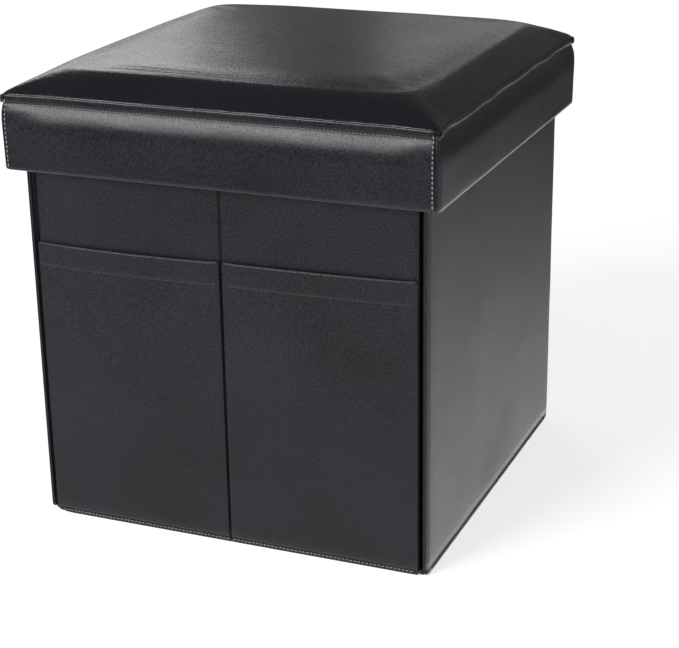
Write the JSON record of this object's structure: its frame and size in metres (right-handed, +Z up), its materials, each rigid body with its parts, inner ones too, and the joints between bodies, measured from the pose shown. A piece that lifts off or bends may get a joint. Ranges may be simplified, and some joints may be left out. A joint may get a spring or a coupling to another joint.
{
  "type": "ottoman with storage",
  "caption": "Cube storage ottoman with a lift-off padded lid, hollow body, flat front pockets, a raising bottom flap and side panels that fold together.",
  "frame": {"origin": "centre of the footprint, on the floor", "axes": "+Z up, -Y towards the front with the pockets, +X to the right seen from the front"},
  "size_m": [0.374, 0.374, 0.393],
  "materials": {
    "pu_cover": "satin",
    "board": "matte",
    "lining": "matte",
    "foam": "matte",
    "hinge_cloth": "matte",
    "webbing": "matte"
  },
  "bodies": {
    "left_wall": {"left_wall_cover": "pu_cover", "left_wall_board": "board", "left_wall_lining": "lining", "left_wall_hem": "pu_cover", "corner_hinge_front_left": "hinge_cloth", "corner_hinge_back_left": "hinge_cloth", "bottom_hinge_cloth": "hinge_cloth"},
    "right_wall": {"right_wall_cover": "pu_cover", "right_wall_board": "board", "right_wall_lining": "lining", "right_wall_hem": "pu_cover", "corner_hinge_front_right": "hinge_cloth", "corner_hinge_back_right": "hinge_cloth"},
    "front_left": {"front_left_cover": "pu_cover", "front_left_board": "board", "front_left_lining": "lining", "front_left_hem": "pu_cover", "pocket_left": "pu_cover", "crease_front": "pu_cover"},
    "front_right": {"front_right_cover": "pu_cover", "front_right_board": "board", "front_right_lining": "lining", "front_right_hem": "pu_cover", "pocket_right": "pu_cover"},
    "back_left": {"back_left_cover": "pu_cover", "back_left_board": "board", "back_left_lining": "lining", "back_left_hem": "pu_cover", "crease_back": "pu_cover"},
    "back_right": {"back_right_cover": "pu_cover", "back_right_board": "board", "back_right_lining": "lining", "back_right_hem": "pu_cover"},
    "bottom_flap": {"bottom_board": "board", "bottom_board_cloth": "lining", "pull_tab": "webbing"},
    "lid": {"lid_board": "board", "lid_skirt_front": "board", "lid_skirt_back": "board", "lid_skirt_left": "board", "lid_skirt_right": "board", "lid_foam": "foam", "lid_top_panel": "pu_cover", "lid_band_front": "pu_cover", "lid_band_right": "pu_cover", "lid_band_back": "pu_cover", "lid_band_left": "pu_cover", "lid_lining": "lining"}
  },
  "joints": [
    {"name": "fold_front_left", "type": "hinge", "parent": "left_wall", "child": "front_left", "pos_m": [-0.1633, -0.165, 0], "axis": [0, 0, 1], "range_deg": [0, 88], "deforming": ["corner_hinge_front_left", "front_left_hem"]},
    {"name": "fold_front_middle", "type": "hinge", "parent": "front_left", "child": "front_right", "pos_m": [0, -0.1815, 0], "axis": [0, 0, 1], "range_deg": [-176, 0], "deforming": ["crease_front", "front_right_hem"]},
    {"name": "fold_front_right", "type": "hinge", "parent": "front_right", "child": "right_wall", "pos_m": [0.1633, -0.165, 0], "axis": [0, 0, 1], "range_deg": [0, 88], "deforming": ["corner_hinge_front_right", "right_wall_hem"]},
    {"name": "fold_back_left", "type": "hinge", "parent": "left_wall", "child": "back_left", "pos_m": [-0.1633, 0.165, 0], "axis": [0, 0, 1], "range_deg": [-88, 0], "deforming": ["corner_hinge_back_left", "back_left_hem", "crease_back"]},
    {"name": "fold_back_right", "type": "hinge", "parent": "right_wall", "child": "back_right", "pos_m": [0.1633, 0.165, 0], "axis": [0, 0, 1], "range_deg": [0, 88], "deforming": ["corner_hinge_back_right", "back_right_hem"]},
    {"name": "bottom_flap_hinge", "type": "hinge", "parent": "left_wall", "child": "bottom_flap", "pos_m": [-0.1684, 0, 0.0048], "axis": [0, -1, 0], "range_deg": [0, 90], "deforming": ["bottom_hinge_cloth"]},
    {"name": "lid_lift", "type": "slide", "parent": "left_wall", "child": "lid", "axis": [0, 0, 1], "range_m": [0, 0.2]}
  ],
  "couplings": [
    {"joint": "fold_front_middle", "follows": "fold_front_left", "ratio": -2},
    {"joint": "fold_front_right", "follows": "fold_front_left", "ratio": 1},
    {"joint": "fold_back_left", "follows": "fold_front_left", "ratio": -1},
    {"joint": "fold_back_right", "follows": "fold_front_left", "ratio": 1}
  ]
}
